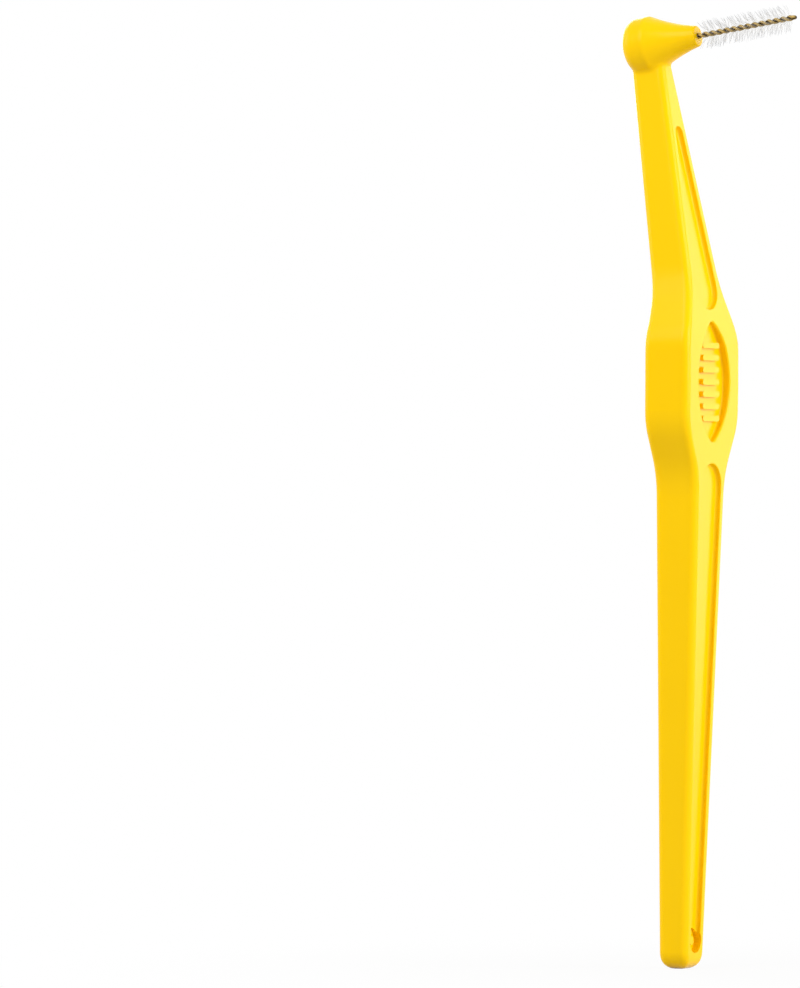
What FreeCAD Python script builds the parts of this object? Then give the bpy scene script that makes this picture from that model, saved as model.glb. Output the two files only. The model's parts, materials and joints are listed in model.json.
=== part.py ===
import FreeCAD, Part
import math
import os
import Sketcher

# An interdental brush with an angled head: a moulded handle, one wire folded in two and twisted,
# and straight filaments gripped between its strands. The handle stands along +Z on its foot,
# whose centre is the origin, and the brush points along +X.

vector = FreeCAD.Vector
touching = 1e-4

# Driving dimensions, in millimetres and degrees
sizes = {
    # Handle from the front: its width at each corner, and the lengths between the corners
    "foot_width": 6.2,
    "shank_length": 68.9,
    "shank_top_width": 9.75,
    "low_shoulder_length": 7.1,
    "grip_length": 12.1,
    "grip_width": 17.1,
    "high_shoulder_length": 7.5,
    "neck_base_width": 10.25,
    "neck_length": 32.7,
    "neck_top_width": 3.2,
    "foot_rise": 0.75,
    "foot_dip": 0.45,
    # Handle from the side: how far the front and the back lie from the middle of the foot
    "foot_front": 2.27,
    "foot_back": 2.03,
    "grip_front": 5.35,
    "swell_rise": 4.0,
    "front_bend_rise": 0.7,
    "back_bend_rise": 3.9,
    "bend_back": 1.58,
    "neck_top_setback": 2.28,
    "neck_top_depth": 5.0,
    # Rounding of the handle
    "shank_top_round": 12.0,
    "grip_corner_round": 8.0,
    "neck_base_round": 16.0,
    "swell_round": 150.0,
    "front_bend_round": 24.0,
    "back_bend_round": 36.0,
    "foot_side_round": 1.7,
    "foot_corner_round": 2.4,
    "long_edge_round": 1.1,
    "head_root_round": 0.8,
    # Head, turned about the brush axis, placed from the top of the neck
    "brush_tilt": 8.5,
    "head_advance": 0.28,
    "head_rise": 1.05,
    "nozzle_length": 7.4,
    "nozzle_radius": 1.5,
    "nozzle_rim_round": 0.25,
    "nozzle_flare_radius": 26.0,
    "crest_radius": 4.08,
    "crest_round": 1.2,
    "head_length": 11.1,
    "head_round": 2.0,
    "dome_radius": 7.0,
    # Finger grooves down the front, with rounded ends, above and below the thumb recess
    "groove_depth": 0.75,
    "groove_floor_round": 0.45,
    "groove_lip_round": 0.15,
    "upper_groove_bridge": 1.6,
    "upper_groove_stop": 11.3,
    "upper_groove_top_width": 2.3,
    "upper_groove_bottom_width": 6.6,
    "lower_groove_bridge": 3.0,
    "lower_groove_start": 3.95,
    "lower_groove_top_width": 6.3,
    "lower_groove_bottom_width": 2.85,
    # Thumb recess in the grip, with ribs on its floor
    "recess_length": 16.7,
    "recess_width": 9.9,
    "recess_depth": 1.1,
    "recess_tip_round": 1.2,
    "recess_floor_round": 0.3,
    "recess_lip_round": 0.25,
    "rib_count": 7,
    "rib_pitch": 1.7,
    "rib_length": 5.2,
    "rib_width": 0.8,
    "rib_height": 0.6,
    # Gate dimple near the foot
    "dimple_height": 3.95,
    "dimple_diameter": 3.5,
    "dimple_depth": 1.1,
    "gate_nub_diameter": 1.3,
    "gate_nub_height": 0.5,
    # Twisted wire
    "strand_diameter": 0.37,
    "twist_pitch": 2.2,
    "wire_free_length": 15.4,
    "wire_buried_length": 5.5,
    "tip_loop_radius": 0.28,
    "tip_loop_flare": 0.44,
    "bore_clearance": 0.02,
    "bore_end_clearance": 0.1,
    # Filaments
    "filament_diameter": 0.08,
    "filament_clearance": 0.015,
    "filament_spacing": 0.09,
    "filament_span": 4.2,
    "bare_wire_length": 0.65,
    # Reach of every cut past the faces that it leaves by
    "cut_overrun": 3.0,
}

# Sizes that follow from the driving ones
derived = {
    "grip_low_height": "shank_length + low_shoulder_length",
    "grip_high_height": "grip_low_height + grip_length",
    "neck_base_height": "grip_high_height + high_shoulder_length",
    "neck_top_height": "neck_base_height + neck_length",
    "swell_height": "grip_low_height + swell_rise",
    "front_bend_height": "grip_high_height + front_bend_rise",
    "back_bend_height": "grip_high_height + back_bend_rise",
    "shank_slope": "(grip_front - foot_front) / swell_height",
    "neck_slope": "-(grip_front + neck_top_setback) / (neck_top_height - front_bend_height)",
    "shank_lean": "atan(shank_slope) / 1deg",
    "neck_lean": "atan(neck_slope) / 1deg",
    "crest_front": "head_advance - neck_top_setback - neck_top_depth / 2",
    "crest_height": "neck_top_height + head_rise",
    "exit_front": "crest_front + nozzle_length * cos(brush_tilt * 1deg)",
    "exit_height": "crest_height + nozzle_length * sin(brush_tilt * 1deg)",
    "recess_height": "(grip_low_height + grip_high_height) / 2",
    "recess_top": "recess_height + recess_length / 2",
    "recess_bottom": "recess_height - recess_length / 2",
    "upper_groove_height": "recess_top + upper_groove_bridge + upper_groove_bottom_width / 2",
    "upper_groove_length": "neck_top_height - upper_groove_stop - upper_groove_height",
    "lower_groove_top": "recess_bottom - lower_groove_bridge - lower_groove_top_width / 2",
    "lower_groove_length": "lower_groove_top - lower_groove_start",
    "upper_groove_front": "grip_front + neck_slope * (upper_groove_height - front_bend_height)",
    "lower_groove_front": "foot_front + shank_slope * lower_groove_start",
    "recess_floor": "grip_front - recess_depth",
    "recess_bulge": "(recess_length^2 + recess_width^2) / 4 - recess_length * recess_tip_round",
    "recess_radius": "recess_bulge / (recess_width - 2 * recess_tip_round)",
    "dimple_floor": "foot_front + shank_slope * dimple_height - dimple_depth",
    "strand_offset": "(strand_diameter + filament_diameter) / 2 + filament_clearance",
    "bore_radius": "strand_offset + strand_diameter / 2 + bore_clearance",
    "bore_depth": "wire_buried_length + bore_end_clearance",
    "tip_length": "strand_diameter / 2 + tip_loop_radius + tip_loop_flare",
    "twisted_length": "wire_free_length - tip_length",
    "bristled_length": "twisted_length - bare_wire_length",
}

doc = FreeCAD.newDocument("interdental_brush")
sheet = doc.addObject("Spreadsheet::Sheet", "Sizes")
cells = {alias: str(value) for alias, value in sizes.items()}
cells.update({alias: f"={formula}" for alias, formula in derived.items()})
for row, (alias, content) in enumerate(cells.items(), start=1):
    sheet.set(f"A{row}", alias)
    sheet.set(f"B{row}", content)
    sheet.setAlias(f"B{row}", alias)
doc.recompute()


def size(alias):
    return float(sheet.get(alias))


# Helpers for sketches and features


def new_sketch(body, name, role, place):
    """A sketch on one of the body's own origin planes, moved by expressions along its own axes."""
    sketch = body.newObject("Sketcher::SketchObject", name)
    plane = next(f for f in body.Origin.OriginFeatures if f.Role == role)
    sketch.AttachmentSupport = [(plane, "")]
    sketch.MapMode = "FlatFace"
    for axis, expression in place.items():
        sketch.setExpression(f".AttachmentOffset.Base.{axis}", expression)
    return sketch


def new_axial_sketch(body, name):
    """A sketch in the plane of symmetry, with its X along the brush and its origin at the nozzle's end."""
    sketch = new_sketch(body, name, "XZ_Plane", {"x": "Sizes.exit_front", "y": "Sizes.exit_height"})
    turn = FreeCAD.Rotation(vector(0, 0, 1), size("brush_tilt"))
    sketch.AttachmentOffset = FreeCAD.Placement(sketch.AttachmentOffset.Base, turn)
    sketch.setExpression(".AttachmentOffset.Rotation.Angle", "Sizes.brush_tilt * 1deg")
    return sketch


def tie(sketch, kind, *target):
    sketch.addConstraint(Sketcher.Constraint(kind, *target))


def bind(sketch, kind, *target, to):
    """A dimension of the sketch, tied to the sheet by an expression."""
    value = float(sketch.evalExpression(to))
    index = sketch.addConstraint(Sketcher.Constraint(kind, *target, value))
    sketch.setExpression(f"Constraints[{index}]", to)


def add_line(sketch, start, end, construction=False):
    return sketch.addGeometry(Part.LineSegment(start, end), construction)


def add_arc(sketch, center, start, end):
    """An arc about a centre, anticlockwise from the point start to the direction of the point end."""
    angles = [math.atan2(p.y - center.y, p.x - center.x) for p in (start, end)]
    circle = Part.Circle(center, vector(0, 0, 1), (start - center).Length)
    return sketch.addGeometry(Part.ArcOfCircle(circle, *angles), False)


def polygon(sketch, corners):
    """A closed outline. Each corner is two places and, where it is rounded, a radius, as expressions."""
    values = [[float(sketch.evalExpression(text)) for text in corner] for corner in corners]
    points = [vector(*places[:2], 0) for places in values]
    edges = [add_line(sketch, start, end) for start, end in zip(points, points[1:] + points[:1])]
    for edge, following in zip(edges, edges[1:] + edges[:1]):
        tie(sketch, "Coincident", edge, 2, following, 1)
    arcs = {}
    for edge, (_, _, *rounding) in zip(edges, values):
        if rounding:
            arcs[edge] = sketch.GeometryCount
            sketch.fillet(edge, 1, rounding[0], True, True)
    for edge, (across, up, *rounding) in zip(edges, corners):
        corner = edge
        if rounding:
            bind(sketch, "Radius", arcs[edge], to=rounding[0])
            corner = arcs[edge] + 1
        bind(sketch, "DistanceX", -1, 1, corner, 1, to=across)
        bind(sketch, "DistanceY", -1, 1, corner, 1, to=up)


def add_feature(body, kind, name, profile, grows, settings, lengths=None):
    """A feature that has to add material, or has to take it away."""
    before = body.Shape.Volume if body.Tip else 0
    feature = body.newObject(f"PartDesign::{kind}", name)
    feature.Profile = profile
    for key, value in settings.items():
        setattr(feature, key, value)
    for key, expression in (lengths or {}).items():
        feature.setExpression(key, expression)
    doc.recompute()
    change = feature.Shape.Volume - before
    if change == 0 or (change > 0) != grows:
        raise RuntimeError(f"{name} changed the volume by {change}")
    return feature


def round_edges(body, name, radius, chosen):
    """Rounds the edges of the body that pass a test on the edge."""
    edges = [f"Edge{i}" for i, edge in enumerate(body.Shape.Edges, start=1) if chosen(edge)]
    feature = body.Tip
    fillet = body.newObject("PartDesign::Fillet", name)
    fillet.Base = (feature, edges)
    fillet.setExpression("Radius", f"Sizes.{radius}")
    doc.recompute()
    if fillet.Shape.isNull():
        raise RuntimeError(f"{name} could not round {len(edges)} edges")


def middle(edge):
    return edge.valueAt((edge.FirstParameter + edge.LastParameter) / 2)


def new_rim(feature):
    """A test for the edges that a feature drew across the faces that were there before it."""
    faces = feature.BaseFeature.Shape.Shells[0]
    edges = Part.Compound(faces.Edges)
    places = [middle(edge) for edge in faces.Edges]

    def drawn(edge):
        place = middle(edge)
        if any(place.isEqual(known, touching) for known in places):
            return False
        point = Part.Vertex(place)
        return faces.distToShape(point)[0] < touching < edges.distToShape(point)[0]

    return drawn


def in_plane(sketch):
    """A test for the edges that lie in the plane of a sketch."""
    flat = sketch.Placement.inverse()

    def lies(edge):
        points = [middle(edge)] + [vertex.Point for vertex in edge.Vertexes]
        return all(abs(flat.multVec(point).z) < touching for point in points)

    return lies


def cut_outward(name, sketch, depth):
    """A pocket from its floor, where the sketch is, to beyond the front, rounded inside and out."""
    reach = {"Length": f"Sizes.{depth}_depth + Sizes.cut_overrun"}
    pocket = add_feature(handle, "Pocket", name, sketch, False, {"Reversed": True}, reach)
    round_edges(handle, f"{name}_lip", f"{depth}_lip_round", new_rim(pocket))
    round_edges(handle, f"{name}_floor", f"{depth}_floor_round", in_plane(sketch))


# Handle

handle = doc.addObject("PartDesign::Body", "handle")
handle.Label = "handle"

side = new_sketch(handle, "side_outline", "XZ_Plane", {})
polygon(side, [
    ("-Sizes.foot_back", "0", "Sizes.foot_side_round"),
    ("Sizes.foot_front", "0", "Sizes.foot_side_round"),
    ("Sizes.grip_front", "Sizes.swell_height", "Sizes.swell_round"),
    ("Sizes.grip_front", "Sizes.front_bend_height", "Sizes.front_bend_round"),
    ("-Sizes.neck_top_setback", "Sizes.neck_top_height"),
    ("-Sizes.neck_top_setback - Sizes.neck_top_depth", "Sizes.neck_top_height"),
    ("-Sizes.bend_back", "Sizes.back_bend_height", "Sizes.back_bend_round"),
])
add_feature(handle, "Pad", "shaft", side, True, {"Midplane": True}, {"Length": "Sizes.grip_width"})

beyond = "Sizes.grip_width / 2 + Sizes.cut_overrun"
front = new_sketch(handle, "front_outline", "YZ_Plane", {"z": "Sizes.grip_front + Sizes.cut_overrun"})
polygon(front, [
    ("0", "-Sizes.foot_dip"),
    ("0", "-Sizes.cut_overrun"),
    (beyond, "-Sizes.cut_overrun"),
    (beyond, "Sizes.neck_top_height + Sizes.cut_overrun"),
    ("Sizes.neck_top_width / 2", "Sizes.neck_top_height + Sizes.cut_overrun"),
    ("Sizes.neck_top_width / 2", "Sizes.neck_top_height"),
    ("Sizes.neck_base_width / 2", "Sizes.neck_base_height", "Sizes.neck_base_round"),
    ("Sizes.grip_width / 2", "Sizes.grip_high_height", "Sizes.grip_corner_round"),
    ("Sizes.grip_width / 2", "Sizes.grip_low_height", "Sizes.grip_corner_round"),
    ("Sizes.shank_top_width / 2", "Sizes.shank_length", "Sizes.shank_top_round"),
    ("Sizes.foot_width / 2", "Sizes.foot_rise", "Sizes.foot_corner_round"),
])
flank = add_feature(handle, "Pocket", "flank", front, False, {"Type": "ThroughAll"})
flanks = handle.newObject("PartDesign::Mirrored", "flanks")
flanks.Originals = [flank]
flanks.MirrorPlane = (next(f for f in handle.Origin.OriginFeatures if f.Role == "XZ_Plane"), [""])
handle.Tip = flanks
doc.recompute()


def along_shank(edge):
    box = edge.BoundBox
    return box.ZMin < size("shank_length") / 2 < box.ZMax


round_edges(handle, "long_edges", "long_edge_round", along_shank)


def beside(first, first_reach, second, second_reach):
    """The point at these distances from two points, on the left of the way from first to second."""
    across = second - first
    along = (first_reach**2 - second_reach**2 + across.Length**2) / (2 * across.Length)
    left = vector(-across.y, across.x, 0).normalize()
    return first + across.normalize() * along + left * math.sqrt(first_reach**2 - along**2)


def head_profile():
    """Half of the head's section: nozzle face and rim, flared nozzle, crest, band and domed back."""
    sketch = new_axial_sketch(handle, "head_profile")
    rim_round = size("nozzle_rim_round")
    crest_round = size("crest_round")
    flare_radius = size("nozzle_flare_radius")
    back_round = size("head_round")
    dome_radius = size("dome_radius")
    crest = size("crest_radius")
    rim_center = vector(-rim_round, size("nozzle_radius") - rim_round, 0)
    crest_center = vector(-size("nozzle_length"), crest - crest_round, 0)
    flare_center = beside(crest_center, flare_radius + crest_round, rim_center, flare_radius + rim_round)
    dome_center = vector(dome_radius - size("head_length"), 0, 0)
    inset = math.sqrt((dome_radius - back_round) ** 2 - (crest - back_round) ** 2)
    back_center = vector(dome_center.x - inset, crest - back_round, 0)

    origin = vector(0, 0, 0)
    pole = vector(-size("head_length"), 0, 0)
    rim_start = vector(0, rim_center.y, 0)
    rim_end = rim_center + (flare_center - rim_center).normalize() * rim_round
    crest_start = crest_center + (flare_center - crest_center).normalize() * crest_round
    crest_end = vector(crest_center.x, crest, 0)
    back_start = vector(back_center.x, crest, 0)
    back_end = dome_center + (back_center - dome_center).normalize() * dome_radius

    axis = add_line(sketch, pole, origin)
    face = add_line(sketch, origin, rim_start)
    rim = add_arc(sketch, rim_center, rim_start, rim_end)
    flare = add_arc(sketch, flare_center, crest_start, rim_end)
    top = add_arc(sketch, crest_center, crest_start, crest_end)
    band = add_line(sketch, crest_end, back_start)
    back = add_arc(sketch, back_center, back_start, back_end)
    dome = add_arc(sketch, dome_center, back_end, pole)
    tie(sketch, "Coincident", axis, 2, face, 1)
    tie(sketch, "Tangent", face, 2, rim, 1)
    tie(sketch, "Tangent", rim, 2, flare, 2)
    tie(sketch, "Tangent", flare, 1, top, 1)
    tie(sketch, "Tangent", top, 2, band, 1)
    tie(sketch, "Tangent", band, 2, back, 1)
    tie(sketch, "Tangent", back, 2, dome, 1)
    tie(sketch, "Coincident", dome, 2, axis, 1)
    tie(sketch, "Coincident", axis, 2, -1, 1)
    tie(sketch, "Horizontal", axis)
    tie(sketch, "Vertical", face)
    tie(sketch, "Horizontal", band)
    tie(sketch, "PointOnObject", dome, 3, -1)
    bind(sketch, "Radius", rim, to="Sizes.nozzle_rim_round")
    bind(sketch, "Radius", flare, to="Sizes.nozzle_flare_radius")
    bind(sketch, "Radius", top, to="Sizes.crest_round")
    bind(sketch, "Radius", back, to="Sizes.head_round")
    bind(sketch, "Radius", dome, to="Sizes.dome_radius")
    bind(sketch, "DistanceY", -1, 1, face, 2, to="Sizes.nozzle_radius - Sizes.nozzle_rim_round")
    bind(sketch, "DistanceY", -1, 1, band, 1, to="Sizes.crest_radius")
    bind(sketch, "DistanceX", top, 3, -1, 1, to="Sizes.nozzle_length")
    bind(sketch, "DistanceX", axis, 1, -1, 1, to="Sizes.head_length")
    return sketch


head = head_profile()
turned = {"ReferenceAxis": (head, ["H_Axis"]), "Angle": 360}
joined = add_feature(handle, "Revolution", "head", head, True, turned)
round_edges(handle, "head_root", "head_root_round", new_rim(joined))


def finger_groove(name, height, lean):
    """A groove along the front with round ends, as wide as the round ends and tapered between them."""
    place = {"y": height, "z": f"Sizes.{name}_front - Sizes.groove_depth"}
    sketch = new_sketch(handle, f"{name}_outline", "YZ_Plane", place)
    turn = FreeCAD.Rotation(vector(1, 0, 0), size(lean))
    sketch.AttachmentOffset = FreeCAD.Placement(sketch.AttachmentOffset.Base, turn)
    sketch.setExpression(".AttachmentOffset.Rotation.Roll", f"Sizes.{lean} * 1deg")
    top_center = vector(0, size(f"{name}_length"), 0)
    top_radius = size(f"{name}_top_width") / 2
    low_center = vector(0, 0, 0)
    low_radius = size(f"{name}_bottom_width") / 2
    rise = (low_radius - top_radius) / top_center.y
    right = vector(math.sqrt(1 - rise**2), rise, 0)
    left = vector(-right.x, rise, 0)
    top = add_arc(sketch, top_center, top_center + right * top_radius, top_center + left * top_radius)
    left_side = add_line(sketch, top_center + left * top_radius, left * low_radius)
    bottom = add_arc(sketch, low_center, left * low_radius, right * low_radius)
    right_side = add_line(sketch, right * low_radius, top_center + right * top_radius)
    tie(sketch, "Tangent", top, 2, left_side, 1)
    tie(sketch, "Tangent", left_side, 2, bottom, 1)
    tie(sketch, "Tangent", bottom, 2, right_side, 1)
    tie(sketch, "Tangent", right_side, 2, top, 1)
    tie(sketch, "Coincident", bottom, 3, -1, 1)
    tie(sketch, "PointOnObject", top, 3, -2)
    bind(sketch, "Radius", top, to=f"Sizes.{name}_top_width / 2")
    bind(sketch, "Radius", bottom, to=f"Sizes.{name}_bottom_width / 2")
    bind(sketch, "DistanceY", -1, 1, top, 3, to=f"Sizes.{name}_length")
    cut_outward(name, sketch, "groove")


finger_groove("upper_groove", "Sizes.upper_groove_height", "neck_lean")
finger_groove("lower_groove", "Sizes.lower_groove_start", "shank_lean")


def thumb_recess():
    """A leaf-shaped recess with rounded tips in the grip, cut outwards from its flat floor."""
    place = {"y": "Sizes.recess_height", "z": "Sizes.recess_floor"}
    sketch = new_sketch(handle, "recess_outline", "YZ_Plane", place)
    side_radius = size("recess_radius")
    tip_center = vector(0, size("recess_length") / 2 - size("recess_tip_round"), 0)
    side_center = vector(side_radius - size("recess_width") / 2, 0, 0)
    touch = (tip_center + side_center).normalize() * side_radius - side_center
    across = vector(2 * touch.x, 0, 0)
    right = add_arc(sketch, -side_center, across - touch, touch)
    top = add_arc(sketch, tip_center, touch, touch - across)
    left = add_arc(sketch, side_center, touch - across, -touch)
    bottom = add_arc(sketch, -tip_center, -touch, across - touch)
    tie(sketch, "Tangent", right, 2, top, 1)
    tie(sketch, "Tangent", top, 2, left, 1)
    tie(sketch, "Tangent", left, 2, bottom, 1)
    tie(sketch, "Tangent", bottom, 2, right, 1)
    tie(sketch, "PointOnObject", top, 3, -2)
    tie(sketch, "PointOnObject", bottom, 3, -2)
    bind(sketch, "Radius", right, to="Sizes.recess_radius")
    bind(sketch, "Radius", left, to="Sizes.recess_radius")
    bind(sketch, "Radius", top, to="Sizes.recess_tip_round")
    bind(sketch, "Radius", bottom, to="Sizes.recess_tip_round")
    bind(sketch, "DistanceY", -1, 1, top, 3, to="Sizes.recess_length / 2 - Sizes.recess_tip_round")
    bind(sketch, "DistanceY", bottom, 3, -1, 1, to="Sizes.recess_length / 2 - Sizes.recess_tip_round")
    cut_outward("thumb_recess", sketch, "recess")


thumb_recess()


def grip_ribs():
    """Cross ribs that stand on the floor of the recess, spread about its middle."""
    lowest = "Sizes.recess_height - (Sizes.rib_count - 1) / 2 * Sizes.rib_pitch"
    sketch = new_sketch(handle, "rib_outline", "YZ_Plane", {"y": lowest, "z": "Sizes.recess_floor"})
    up = vector(0, size("rib_width") / 2, 0)
    center = vector((size("rib_length") - size("rib_width")) / 2, 0, 0)
    bottom = add_line(sketch, -center - up, center - up)
    right = add_arc(sketch, center, center - up, center + up)
    top = add_line(sketch, center + up, -center + up)
    left = add_arc(sketch, -center, -center + up, -center - up)
    tie(sketch, "Tangent", bottom, 2, right, 1)
    tie(sketch, "Tangent", right, 2, top, 1)
    tie(sketch, "Tangent", top, 2, left, 1)
    tie(sketch, "Tangent", left, 2, bottom, 1)
    tie(sketch, "Symmetric", left, 3, right, 3, -1, 1)
    tie(sketch, "Horizontal", bottom)
    bind(sketch, "Radius", right, to="Sizes.rib_width / 2")
    bind(sketch, "DistanceX", left, 3, right, 3, to="Sizes.rib_length - Sizes.rib_width")
    rib = add_feature(handle, "Pad", "grip_rib", sketch, True, {}, {"Length": "Sizes.rib_height"})
    ribs = handle.newObject("PartDesign::LinearPattern", "grip_ribs")
    ribs.Originals = [rib]
    ribs.Direction = (next(f for f in handle.Origin.OriginFeatures if f.Role == "Z_Axis"), [""])
    ribs.setExpression("Length", "(Sizes.rib_count - 1) * Sizes.rib_pitch")
    ribs.setExpression("Occurrences", "Sizes.rib_count")
    handle.Tip = ribs
    doc.recompute()


grip_ribs()


def disc_sketch(name, diameter):
    """A circle about the middle of the gate dimple, on its floor."""
    place = {"y": "Sizes.dimple_height", "z": "Sizes.dimple_floor"}
    sketch = new_sketch(handle, name, "YZ_Plane", place)
    circle = Part.Circle(vector(0, 0, 0), vector(0, 0, 1), size(diameter) / 2)
    edge = sketch.addGeometry(circle, False)
    tie(sketch, "Coincident", edge, 3, -1, 1)
    bind(sketch, "Diameter", edge, to=f"Sizes.{diameter}")
    return sketch


dimple = disc_sketch("dimple_outline", "dimple_diameter")
reach = {"Length": "Sizes.dimple_depth + Sizes.cut_overrun"}
add_feature(handle, "Pocket", "gate_dimple", dimple, False, {"Reversed": True}, reach)
nub = disc_sketch("nub_outline", "gate_nub_diameter")
add_feature(handle, "Pad", "gate_nub", nub, True, {}, {"Length": "Sizes.gate_nub_height"})

bore = new_axial_sketch(handle, "bore_profile")
polygon(bore, [
    ("-Sizes.bore_depth", "0"),
    ("Sizes.cut_overrun", "0"),
    ("Sizes.cut_overrun", "Sizes.bore_radius"),
    ("-Sizes.bore_depth", "Sizes.bore_radius"),
])
add_feature(handle, "Groove", "wire_bore", bore, False, {"ReferenceAxis": (bore, ["H_Axis"]), "Angle": 360})

# Brush, made along +Z from the end of the nozzle and then laid along the brush axis

exit_point = vector(size("exit_front"), 0, size("exit_height"))
brush_seat = FreeCAD.Placement(exit_point, FreeCAD.Rotation(vector(0, 1, 0), 90 - size("brush_tilt")))


def twist_angle(height):
    return 2 * math.pi * height / size("twist_pitch")


def around(height, angle, radius):
    return vector(radius * math.cos(angle), radius * math.sin(angle), height)


def strand_point(height, side):
    """Middle of a strand, and the way that it runs."""
    angle = twist_angle(height) + side * math.pi
    offset = size("strand_offset")
    climb = size("twist_pitch") / (2 * math.pi)
    run = vector(-offset * math.sin(angle), offset * math.cos(angle), climb).normalize()
    return around(height, angle, offset), run


def arc_edge(start, run, end):
    """The arc that leaves start along run and comes to end."""
    chord = end - start
    inward = (chord - run * chord.dot(run)).normalize()
    radius = chord.dot(chord) / (2 * chord.dot(inward))
    center = start + inward * radius
    middle = center + ((start + end) / 2 - center).normalize() * radius
    return Part.Arc(start, middle, end).toShape()


def biarc(start, start_run, end, end_run):
    """Two arcs that meet smoothly, from one point and direction to another."""
    across = end - start
    runs = start_run + end_run
    spread = 4 - runs.dot(runs)
    slope = across.dot(runs)
    reach = (math.sqrt(slope**2 + spread * across.dot(across)) - slope) / spread
    meet = (start + end + (start_run - end_run) * reach) / 2
    meet_run = (end - start - runs * reach).normalize()
    return [arc_edge(start, start_run, meet), arc_edge(meet, meet_run, end)]


def wire_route():
    """Points and directions up one strand, round the tip loop and down the other strand."""
    loop = size("tip_loop_radius")
    twist_end = size("twisted_length")
    length = twist_end + size("wire_buried_length")
    quarters = math.ceil(4 * length / size("twist_pitch"))
    heights = [twist_end - length * (1 - i / quarters) for i in range(quarters + 1)]
    up = [strand_point(height, 0) for height in heights]
    down = [(point, run * -1) for point, run in (strand_point(height, 1) for height in reversed(heights))]
    outward = around(0, twist_angle(twist_end), 1)
    axial = vector(0, 0, 1)
    cheek = axial * (twist_end + size("tip_loop_flare"))
    bend = [
        (cheek + outward * loop, axial),
        (cheek + axial * loop, outward * -1),
        (cheek - outward * loop, axial * -1),
    ]
    return up + bend + down


def twisted_wire():
    """One unbroken round wire along the route."""
    route = wire_route()
    arcs = [arc for (a, b), (c, d) in zip(route, route[1:]) for arc in biarc(a, b, c, d)]
    spine = Part.Wire(arcs)
    start, run = route[0]
    circle = Part.Circle(start, run, size("strand_diameter") / 2)
    tube = spine.makePipeShell([Part.Wire(circle.toShape())], True, False)
    half = len(spine.Edges) // 2
    sides = [Part.Wire(spine.Edges[:half - 4]), Part.Wire(spine.Edges[half + 4:])]
    gap = sides[0].distToShape(sides[1])[0] - size("strand_diameter")
    tightest = min(arc.Curve.Radius for arc in arcs)
    print(f"twisted_wire: {len(arcs)} arcs, tightest {tightest:.3f} mm, least gap to itself {gap:.3f} mm")
    return Part.Solid(tube) if tube.ShapeType == "Shell" else tube


def filament(height):
    """A straight filament across the wire, between its strands."""
    span = size("filament_span")
    angle = twist_angle(height) + math.pi / 2
    across = around(0, angle, 1)
    start = around(height, angle, -span / 2)
    return Part.makeCylinder(size("filament_diameter") / 2, span, start, across)


def bristle_tufts():
    """The filaments of each quarter turn of the wire."""
    quarter = size("twist_pitch") / 4
    count = int(size("bristled_length") / quarter)
    filaments = int(quarter / size("filament_spacing"))
    for tuft in range(count):
        first = size("bare_wire_length") + tuft * quarter
        heights = [first + i * quarter / filaments for i in range(filaments)]
        yield Part.makeCompound([filament(height) for height in heights])


def place_on_brush(label, shape):
    feature = doc.addObject("Part::Feature", label)
    feature.Label = label
    feature.Shape = shape
    feature.Placement = brush_seat
    return feature


pieces = [handle, place_on_brush("twisted_wire", twisted_wire())]
for number, tuft in enumerate(bristle_tufts(), start=1):
    pieces.append(place_on_brush(f"bristle_tuft_{number:02d}", tuft))
doc.recompute()

# Checks, then one file for each piece

for item in doc.Objects:
    if "Invalid" in item.State or "Error" in item.State:
        raise RuntimeError(f"{item.Label} failed: {item.State}")
for piece in pieces:
    if piece.Shape.isNull() or not piece.Shape.isValid():
        raise RuntimeError(f"{piece.Label} has no valid shape")

os.makedirs("parts", exist_ok=True)
for piece in pieces:
    piece.Shape.exportStep(f"parts/{piece.Label}.step")
print(f"{len(pieces)} pieces, handle {handle.Shape.Volume:.0f} mm3")
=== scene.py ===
import json
import math

import bpy
from mathutils import Matrix, Vector


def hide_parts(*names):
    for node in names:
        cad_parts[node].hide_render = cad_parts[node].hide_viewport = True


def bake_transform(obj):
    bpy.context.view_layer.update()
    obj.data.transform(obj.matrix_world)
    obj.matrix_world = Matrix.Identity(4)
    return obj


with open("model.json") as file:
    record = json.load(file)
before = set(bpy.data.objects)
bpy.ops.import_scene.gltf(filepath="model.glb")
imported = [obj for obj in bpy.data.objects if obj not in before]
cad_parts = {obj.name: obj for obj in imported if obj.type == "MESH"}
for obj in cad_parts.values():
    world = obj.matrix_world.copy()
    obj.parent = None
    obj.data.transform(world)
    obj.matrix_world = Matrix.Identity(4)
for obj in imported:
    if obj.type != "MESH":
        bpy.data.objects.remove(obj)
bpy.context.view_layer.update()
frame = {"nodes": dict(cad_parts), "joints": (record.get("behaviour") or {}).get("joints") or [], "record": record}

scene = bpy.context.scene
scene.view_settings.view_transform = "Standard"
mm = 0.001
white = (1, 1, 1, 1)


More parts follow.
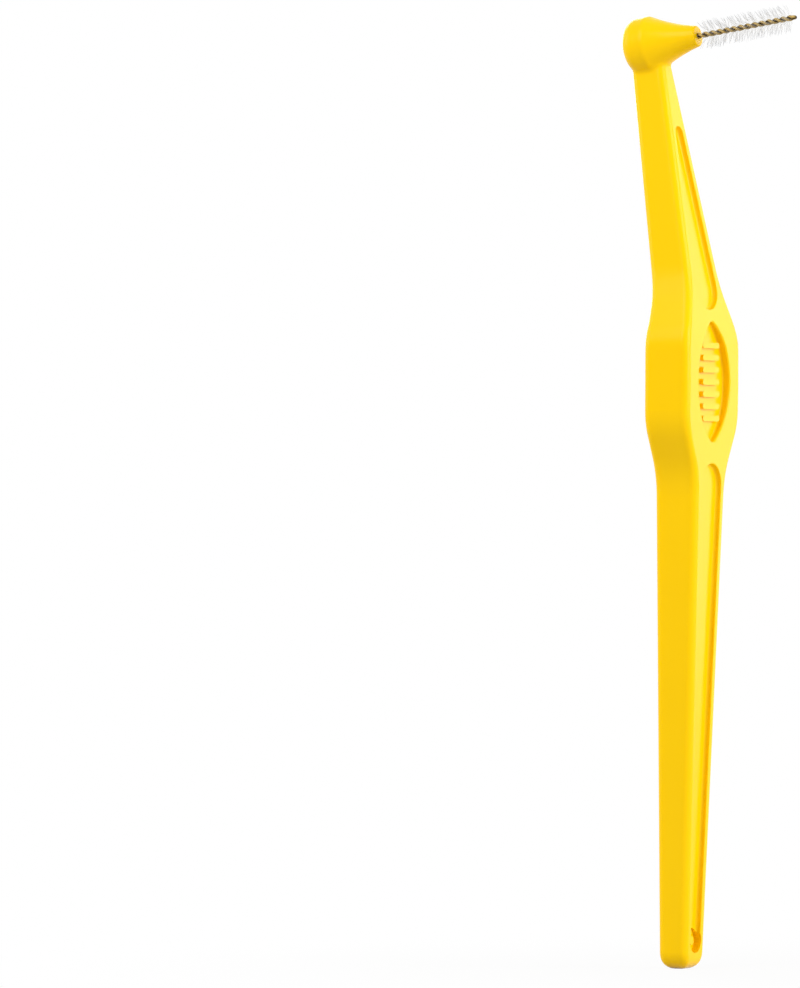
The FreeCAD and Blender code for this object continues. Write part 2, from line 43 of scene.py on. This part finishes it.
class Pin:  # one socket of a node, for sums written as Python

    def __init__(self, sheet, socket):
        self.sheet = sheet
        self.socket = socket

    def sum(self, operation, first, second):
        sockets = {0: first, 1: second}
        return self.sheet.add("ShaderNodeMath", {"operation": operation}, sockets)["Value"]

    def __add__(self, other):
        return self.sum("ADD", self, other)

    def __radd__(self, other):
        return self.sum("ADD", other, self)

    def __sub__(self, other):
        return self.sum("SUBTRACT", self, other)

    def __rsub__(self, other):
        return self.sum("SUBTRACT", other, self)

    def __mul__(self, other):
        return self.sum("MULTIPLY", self, other)

    def __rmul__(self, other):
        return self.sum("MULTIPLY", other, self)

    def __truediv__(self, other):
        return self.sum("DIVIDE", self, other)

    def __rtruediv__(self, other):
        return self.sum("DIVIDE", other, self)

    def __gt__(self, other):
        return self.sum("GREATER_THAN", self, other)

    def __lt__(self, other):
        return self.sum("LESS_THAN", self, other)

    def least(self, other):
        return self.sum("MINIMUM", self, other)

    def most(self, other):
        return self.sum("MAXIMUM", self, other)

    def cosine(self):
        return self.sum("COSINE", self, 0.0)

    def sine(self):
        return self.sum("SINE", self, 0.0)

    def size(self):
        return self.sum("ABSOLUTE", self, 0.0)


class Sheet:  # the nodes of one material, of the world or of one Geometry Nodes tree

    def __init__(self, tree):
        self.tree = tree

    def find(self, sockets, key):
        if isinstance(key, int):
            return sockets[key]
        named = [s for s in sockets if s.identifier == key] + [s for s in sockets if s.name == key]
        return named[0]

    def add(self, kind, settings=None, sockets=None):
        node = self.tree.nodes.new(kind)
        for key, value in (settings or {}).items():
            setattr(node, key, value)
        for key, value in (sockets or {}).items():
            target = self.find(node.inputs, key)
            if isinstance(value, Pin):
                self.tree.links.new(value.socket, target)
            else:
                target.default_value = value
        return Outputs(self, node)


class Outputs:  # a node's outputs, by name, identifier or number

    def __init__(self, sheet, node):
        self.sheet = sheet
        self.node = node

    def __getitem__(self, key):
        return Pin(self.sheet, self.sheet.find(self.node.outputs, key))


# small sets of nodes that come back in materials and trees

def vector(sheet, **parts):
    return sheet.add("ShaderNodeCombineXYZ", {}, parts)["Vector"]


def split(sheet, value):
    return sheet.add("ShaderNodeSeparateXYZ", {}, {"Vector": value})


def lengthOf(sheet, value):
    return sheet.add("ShaderNodeVectorMath", {"operation": "LENGTH"}, {0: value})["Value"]


def ease(sheet, value, start, end, low, high):  # a smooth step from low to high
    return sheet.add("ShaderNodeMapRange", {"interpolation_type": "SMOOTHSTEP"}, {
        "Value": value,
        "From Min": start,
        "From Max": end,
        "To Min": low,
        "To Max": high,
    })["Result"]


def newMaterial(name):
    material = bpy.data.materials.new(name)
    material.use_nodes = True
    material.node_tree.nodes.clear()
    return material, Sheet(material.node_tree)


def closeMaterial(sheet, principled):
    surface = sheet.add("ShaderNodeBsdfPrincipled", {}, principled)["BSDF"]
    sheet.add("ShaderNodeOutputMaterial", {}, {"Surface": surface})


def objectPlace(sheet):
    return sheet.add("ShaderNodeTexCoord")["Object"]


def painted(sheet, label):  # an attribute that a Geometry Nodes tree left on the mesh
    return sheet.add("ShaderNodeAttribute", {"attribute_name": label})["Fac"]


def mixColour(sheet, factor, first, second):
    sockets = {"Factor_Float": factor, "A_Color": first, "B_Color": second}
    return sheet.add("ShaderNodeMix", {"data_type": "RGBA"}, sockets)["Result_Color"]


def noiseAt(sheet, place, scale, detail, stretch=(1, 1, 1)):
    mapped = sheet.add("ShaderNodeMapping", {}, {"Vector": place, "Scale": stretch})["Vector"]
    sockets = {"Vector": mapped, "Scale": scale, "Detail": detail}
    return sheet.add("ShaderNodeTexNoise", {}, sockets)["Fac"]


def bumpFrom(sheet, height, distance, strength):
    sockets = {"Height": height, "Distance": distance, "Strength": strength}
    return sheet.add("ShaderNodeBump", {}, sockets)["Normal"]


plastic = {
    "colour": (0.985, 0.615, 0.0, 1),
    "deepColour": (0.955, 0.57, 0.0, 1),
    "cloudScale": 90,
    "cloudDetail": 3.0,
    "cloudShare": 0.6,  # of the tone, flow has the rest
    "flowScale": 260,
    "flowDetail": 2.0,
    "flowStretch": (1, 1, 0.08),  # streaks of the melt up the handle
    "flowDepth": 0.5,  # beside a grain of 1
    "grainScale": 5200,
    "grainDetail": 1.0,
    "grainShare": 0.6,  # of the roughness, cloud has the rest
    "grainDepth": 0.012 * mm,
    "bumpStrength": 0.5,
    "roughness": 0.22,
    "roughnessSpread": 0.08,
    "specular": 0.1,
}


def makePlastic():
    material, sheet = newMaterial("yellowPlastic")
    place = objectPlace(sheet)
    cloud = noiseAt(sheet, place, plastic["cloudScale"], plastic["cloudDetail"])
    flow = noiseAt(sheet, place, plastic["flowScale"], plastic["flowDetail"], plastic["flowStretch"])
    grain = noiseAt(sheet, place, plastic["grainScale"], plastic["grainDetail"])
    tone = cloud * plastic["cloudShare"] + flow * (1 - plastic["cloudShare"])
    rub = grain * plastic["grainShare"] + cloud * (1 - plastic["grainShare"]) - 0.5  # even about zero
    relief = grain + flow * plastic["flowDepth"]
    closeMaterial(sheet, {
        "Base Color": mixColour(sheet, tone, plastic["colour"], plastic["deepColour"]),
        "Roughness": plastic["roughness"] + rub * plastic["roughnessSpread"],
        "Specular IOR Level": plastic["specular"],
        "Normal": bumpFrom(sheet, relief, plastic["grainDepth"], plastic["bumpStrength"]),
    })
    return material


wireFinish = {
    "colour": (0.52, 0.37, 0.13, 1),
    # darkColour: painted shade in the gap between the strands, also the darkest of the wire's own patches
    "darkColour": (0.03, 0.012, 0.002, 1),
    "drawScale": 3000,
    "drawDetail": 3.0,
    "drawDepth": 0.01 * mm,
    "bumpStrength": 0.4,
    "crestShare": 1.5,  # how fast the painted shade in the gap between the strands fades outwards
    "drawShare": 0.5,
    "darkShare": 0.85,
    "metallic": 0.45,
    "roughness": 0.4,
    "roughnessSpread": 0.2,
    "specular": 0.0,
}


def makeWireMetal():
    material, sheet = newMaterial("brownWire")
    patch = noiseAt(sheet, objectPlace(sheet), wireFinish["drawScale"], wireFinish["drawDetail"])
    # painted shade: the coat is darkened towards the gap between the strands, where shade falls; the noise patches
    # are the wire's own marks
    crest = painted(sheet, "outer") * wireFinish["crestShare"]
    gapShadeAndMarks = crest + patch * wireFinish["drawShare"] - wireFinish["darkShare"]
    gapShadeAndMarks = gapShadeAndMarks.least(1.0).most(0.0)
    closeMaterial(sheet, {
        "Base Color": mixColour(sheet, gapShadeAndMarks, wireFinish["darkColour"], wireFinish["colour"]),
        "Metallic": wireFinish["metallic"],
        "Roughness": wireFinish["roughness"] + patch * wireFinish["roughnessSpread"],
        "Specular IOR Level": wireFinish["specular"],
        "Normal": bumpFrom(sheet, patch, wireFinish["drawDepth"], wireFinish["bumpStrength"]),
    })
    return material


nylon = {
    "rootColour": (0.42, 0.37, 0.26, 1),
    "tipColour": (0.42, 0.43, 0.46, 1),
    "rootAlpha": 0.05,
    "tipAlpha": 0.24,
    "clearRise": 1.7,  # from the clear root to the tip
    "clearStart": 0.3,
    "shadeLow": 0.75,  # clearer and milkier filaments
    "shadeSpread": 0.5,
    "roughness": 0.3,
    "roughnessSpread": 0.15,
}


def makeNylon():
    material, sheet = newMaterial("clearNylon")
    reach = painted(sheet, "reach")
    shade = painted(sheet, "shade")
    free = (reach * nylon["clearRise"] - nylon["clearStart"]).most(0.0).least(1.0)
    clear = nylon["rootAlpha"] + free * (nylon["tipAlpha"] - nylon["rootAlpha"])
    closeMaterial(sheet, {
        "Base Color": mixColour(sheet, reach, nylon["rootColour"], nylon["tipColour"]),
        "Roughness": nylon["roughness"] + shade * nylon["roughnessSpread"],
        "Alpha": clear * (shade * nylon["shadeSpread"] + nylon["shadeLow"]),
    })
    return material


yellowPlastic = makePlastic()
brownWire = makeWireMetal()
clearNylon = makeNylon()
print("materials made")


# Geometry Nodes: a tree with named inputs, then its result as a plain mesh

def newTree(name, inputs):
    tree = bpy.data.node_groups.new(name, "GeometryNodeTree")
    tree.interface.new_socket("Geometry", in_out="OUTPUT", socket_type="NodeSocketGeometry")
    kinds = {float: "NodeSocketFloat", int: "NodeSocketInt"}
    for label, value in inputs.items():
        kind = kinds.get(type(value), "NodeSocketMaterial")
        tree.interface.new_socket(label, in_out="INPUT", socket_type=kind)
    sheet = Sheet(tree)
    return sheet, sheet.add("NodeGroupInput")


def closeTree(sheet, geometry, material):
    whole = sheet.add("GeometryNodeRealizeInstances", {}, {"Geometry": geometry})["Geometry"]
    smooth = sheet.add("GeometryNodeSetShadeSmooth", {}, {"Geometry": whole})["Geometry"]
    sockets = {"Geometry": smooth, "Material": material}
    finished = sheet.add("GeometryNodeSetMaterial", {}, sockets)["Geometry"]
    sheet.add("NodeGroupOutput", {}, {"Geometry": finished})


def store(sheet, geometry, label, value, domain):
    settings = {"data_type": "FLOAT", "domain": domain}
    sockets = {"Geometry": geometry, "Name": label, "Value": value}
    return sheet.add("GeometryNodeStoreNamedAttribute", settings, sockets)["Geometry"]


def pointLine(sheet, start, end, count):
    line = sheet.add("GeometryNodeCurvePrimitiveLine", {}, {"Start": start, "End": end})["Curve"]
    return sheet.add("GeometryNodeResampleCurve", {}, {"Curve": line, "Count": count})["Curve"]


def rodAlong(sheet, route, sides, radius):
    ring = {"Resolution": sides, "Radius": radius}
    profile = sheet.add("GeometryNodeCurvePrimitiveCircle", {}, ring)["Curve"]
    sockets = {"Curve": route, "Profile Curve": profile, "Fill Caps": True}
    return sheet.add("GeometryNodeCurveToMesh", {}, sockets)["Mesh"]


def grow(name, sheet, inputs, seat):
    holder = bpy.data.objects.new(name + "Holder", bpy.data.meshes.new(name + "Holder"))
    scene.collection.objects.link(holder)
    modifier = holder.modifiers.new(name, "NODES")
    modifier.node_group = sheet.tree
    for item in sheet.tree.interface.items_tree:
        if item.in_out == "INPUT":
            modifier[item.identifier] = inputs[item.name]
    grown = holder.evaluated_get(bpy.context.evaluated_depsgraph_get())
    mesh = bpy.data.meshes.new_from_object(grown)
    holder.modifiers.clear()
    bpy.data.objects.remove(holder)
    mesh.name = name
    mesh.transform(seat)
    piece = bpy.data.objects.new(name, mesh)
    scene.collection.objects.link(piece)
    print(name, "has", len(mesh.polygons), "faces")
    return piece


# Handle: the CAD solid with its own finish

handle = frame["nodes"]["handle"]
handle.data.materials.clear()
handle.data.materials.append(yellowPlastic)
print("handle finished")


# Brush: its axis runs from the flex joint at the nozzle to the tip that the record names

flex = frame["joints"][0]
tipMount = next(m for m in frame["record"]["mounts"] if m["name"] == "brush_tip")
nozzle = Vector(flex["pos_m"])
brushAxis = Vector(tipMount["axis"]).normalized()
freeLength = (Vector(tipMount["pos_m"]) - nozzle).length
tilt = math.atan2(brushAxis.x, brushAxis.z)
seat = Matrix.Translation(nozzle) @ Matrix.Rotation(tilt, 4, "Y")

wire = {
    "Strand radius": 0.21 * mm,
    "Strand offset": 0.213 * mm,  # the two strands almost touch
    "Pitch": 2.2 * mm,
    "Buried length": 5.4 * mm,
    "Loop radius": 0.25 * mm,
    "Flare": 0.2 * mm,
    "Tip": freeLength,
    "Points": 760,
    "Sides": 10,
    "Material": brownWire,
}


def wireTree():
    sheet, given = newTree("twistedWire", wire)
    loop = given["Loop radius"]
    middle = given["Tip"] - given["Strand radius"] - loop  # of the fold at the tip
    twistEnd = middle - given["Flare"]
    quarter = loop * (math.pi / 2)
    reach = middle + given["Buried length"] + quarter
    points = pointLine(sheet, (-1, 0, 0), (1, 0, 0), given["Points"])
    place = split(sheet, sheet.add("GeometryNodeInputPosition")["Position"])
    share = place["X"]
    side = (share > 0.0) * 2.0 - 1.0
    run = share.size() * reach  # along a strand, from the tip down
    bend = (run / loop).least(math.pi / 2)
    below = (run - quarter).most(0.0)
    height = middle + loop * bend.cosine() - below
    narrow = ease(sheet, below, 0.0, given["Flare"], loop, given["Strand offset"])
    radius = narrow * bend.sine() * side
    angle = height.least(twistEnd) / given["Pitch"] * (2 * math.pi)
    spot = vector(sheet, X=radius * angle.cosine(), Y=radius * angle.sine(), Z=height)
    sockets = {"Geometry": points, "Position": spot}
    route = sheet.add("GeometryNodeSetPosition", {}, sockets)["Geometry"]
    rod = rodAlong(sheet, route, given["Sides"], given["Strand radius"])
    # outer: distance from the wire's axis, which sets the painted shade in the gap between the strands
    away = lengthOf(sheet, vector(sheet, X=place["X"], Y=place["Y"]))
    outer = away / (given["Strand offset"] + given["Strand radius"])
    rod = store(sheet, rod, "outer", outer, "POINT")
    closeTree(sheet, rod, given["Material"])
    return sheet


twistedWire = grow("twistedWire", wireTree(), wire, seat)

bristle = {
    "Count": 300,
    "Start": 1.35 * mm,
    "End": 14.85 * mm,
    "Pitch": 2.2 * mm,
    "Span": 4.2 * mm,
    "Thickness": 0.052 * mm,
    "Points": 9,
    "Sides": 6,
    "Length spread": 0.12,
    "Angle spread": 1.1,
    "Lean spread": 0.07,
    "Sweep": -0.8 * mm,
    "Bow spread": 0.1 * mm,
    "Seed": 11,
    "Material": clearNylon,
}


def bristleTree():
    sheet, given = newTree("bristles", bristle)

    def scatter(low, high, salt):
        sockets = {"Min_001": low, "Max_001": high, "Seed": given["Seed"] + salt}
        return sheet.add("FunctionNodeRandomValue", {"data_type": "FLOAT"}, sockets)["Value_001"]

    def spread(label, salt):
        return scatter(given[label] * -1.0, given[label], salt)

    def stored(label):
        settings = {"data_type": "FLOAT"}
        return sheet.add("GeometryNodeInputNamedAttribute", settings, {"Name": label})["Attribute"]

    place = split(sheet, sheet.add("GeometryNodeInputPosition")["Position"])
    half = given["Span"] / 2
    ends = [vector(sheet, X=half * sign) for sign in (-1.0, 1.0)]
    line = pointLine(sheet, ends[0], ends[1], given["Points"])
    filament = rodAlong(sheet, line, given["Sides"], given["Thickness"] / 2)
    filament = store(sheet, filament, "reach", place["X"].size() / half, "POINT")

    row = {
        "Count": given["Count"],
        "Start Location": vector(sheet, Z=given["Start"]),
        "Offset": vector(sheet, Z=given["End"]),
    }
    roots = sheet.add("GeometryNodeMeshLine", {"mode": "END_POINTS"}, row)["Mesh"]
    twist = place["Z"] / given["Pitch"] * (2 * math.pi) + math.pi / 2  # square to the strands
    planted = sheet.add("GeometryNodeInstanceOnPoints", {}, {
        "Points": roots,
        "Instance": filament,
        "Rotation": vector(sheet, Y=spread("Lean spread", 1), Z=twist + spread("Angle spread", 2)),
        "Scale": vector(sheet, X=scatter(1.0 - given["Length spread"], 1.0, 3), Y=1.0, Z=1.0),
    })["Instances"]
    planted = store(sheet, planted, "bow", spread("Bow spread", 4), "INSTANCE")
    planted = store(sheet, planted, "shade", scatter(0.0, 1.0, 5), "INSTANCE")
    whole = sheet.add("GeometryNodeRealizeInstances", {}, {"Geometry": planted})["Geometry"]
    reach = stored("reach")
    swept = (given["Sweep"] + stored("bow") * reach) * reach  # back towards the nozzle
    sockets = {"Geometry": whole, "Offset": vector(sheet, Z=swept)}
    bent = sheet.add("GeometryNodeSetPosition", {}, sockets)["Geometry"]
    closeTree(sheet, bent, given["Material"])
    return sheet


bristles = grow("bristles", bristleTree(), bristle, seat)

for piece, slot in ((twistedWire, "coated_wire"), (bristles, "nylon_filament")):
    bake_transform(piece)
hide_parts("twisted_wire")
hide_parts(*[name for name in frame["nodes"] if name.startswith("bristle_tuft")])
print("brush made")


# Stage: a pale floor, a world that is white behind the object, and soft lamps

studio = {
    "floorSize": 1.6,
    "floorColour": (0.55, 0.55, 0.55, 1),
    "floorWhite": 0.94,  # under the object, so that its shadow shows
    "shadowReach": 0.1,
    "ambient": 0.45,
    "lampDistance": 0.8,
    "lampSize": 0.5,
    "lamps": {  # where each lamp stands, seen from the object, and its power
        "keyLamp": ((-0.15, -0.85, 0.75), 3.5),
        "leftLamp": ((-1.0, -0.42, 0.4), 1.6),
        "rightLamp": ((1.0, 0.15, 0.3), 5.0),
        "backLamp": ((-0.7, 0.7, 0.4), 2.4),
        "panelLamp": ((0.47, 0.88, 0.15), 1.4),  # mirrored by the front of the handle
    },
}


def whiteRays(sheet):  # rays that meet plain white: from the camera, a gloss or through a piece
    path = sheet.add("ShaderNodeLightPath")
    direct = path["Is Camera Ray"] + path["Is Glossy Ray"] + path["Is Transmission Ray"]
    return direct.least(1.0)


def makeFloor():
    mesh = bpy.data.meshes.new("floor")
    half = studio["floorSize"] / 2
    corners = [(-half, -half, 0), (half, -half, 0), (half, half, 0), (-half, half, 0)]
    mesh.from_pydata(corners, [], [(0, 1, 2, 3)])
    floor = bpy.data.objects.new("floor", mesh)
    scene.collection.objects.link(floor)
    material, sheet = newMaterial("paleFloor")
    matte = sheet.add("ShaderNodeBsdfDiffuse", {}, {"Color": studio["floorColour"]})["BSDF"]
    glow = sheet.add("ShaderNodeEmission", {}, {"Color": white, "Strength": 1.0})["Emission"]
    away = lengthOf(sheet, objectPlace(sheet))
    fade = ease(sheet, away, 0.0, studio["shadowReach"], studio["floorWhite"], 1.0)
    sockets = {0: whiteRays(sheet) * fade, 1: matte, 2: glow}
    mixed = sheet.add("ShaderNodeMixShader", {}, sockets)["Shader"]
    sheet.add("ShaderNodeOutputMaterial", {}, {"Surface": mixed})
    mesh.materials.append(material)


def makeWorld():
    world = bpy.data.worlds.new("studio")
    world.use_nodes = True
    world.node_tree.nodes.clear()
    scene.world = world
    sheet = Sheet(world.node_tree)
    seen = whiteRays(sheet)
    strength = seen + (1 - seen) * studio["ambient"]
    sockets = {"Color": white, "Strength": strength}
    shine = sheet.add("ShaderNodeBackground", {}, sockets)["Background"]
    sheet.add("ShaderNodeOutputWorld", {}, {"Surface": shine})


camera = {
    "azimuth": 28,
    "distance": 1.2,
    "sideways": -39.2 * mm,
    "height": 66.4 * mm,
    "frameHeight": 138.3 * mm,
    "sensor": 36,
    "nearest": 0.01,
    "farthest": 20,
}


def makeLamp(name, way, power):
    data = bpy.data.lights.new(name, "AREA")
    data.size = studio["lampSize"]
    data.energy = power
    lamp = bpy.data.objects.new(name, data)
    scene.collection.objects.link(lamp)
    target = Vector((0, 0, camera["height"]))
    lamp.location = target + Vector(way).normalized() * studio["lampDistance"]
    lamp.rotation_mode = "QUATERNION"
    lamp.rotation_quaternion = (target - lamp.location).to_track_quat("-Z", "Y")


def makeCamera():
    data = bpy.data.cameras.new("camera")
    data.sensor_width = camera["sensor"]
    data.lens = data.sensor_width * camera["distance"] / camera["frameHeight"]
    data.clip_start = camera["nearest"]
    data.clip_end = camera["farthest"]
    eye = bpy.data.objects.new("camera", data)
    scene.collection.objects.link(eye)
    turn = math.radians(camera["azimuth"])
    towardsCamera = Vector((math.sin(turn), -math.cos(turn), 0))
    rightwards = Vector((math.cos(turn), math.sin(turn), 0))
    target = rightwards * camera["sideways"] + Vector((0, 0, camera["height"]))
    eye.location = target + towardsCamera * camera["distance"]
    eye.rotation_mode = "QUATERNION"
    eye.rotation_quaternion = (-towardsCamera).to_track_quat("-Z", "Y")
    scene.camera = eye


makeFloor()
makeWorld()
for name, (way, power) in studio["lamps"].items():
    makeLamp(name, way, power)
makeCamera()
print("stage made")
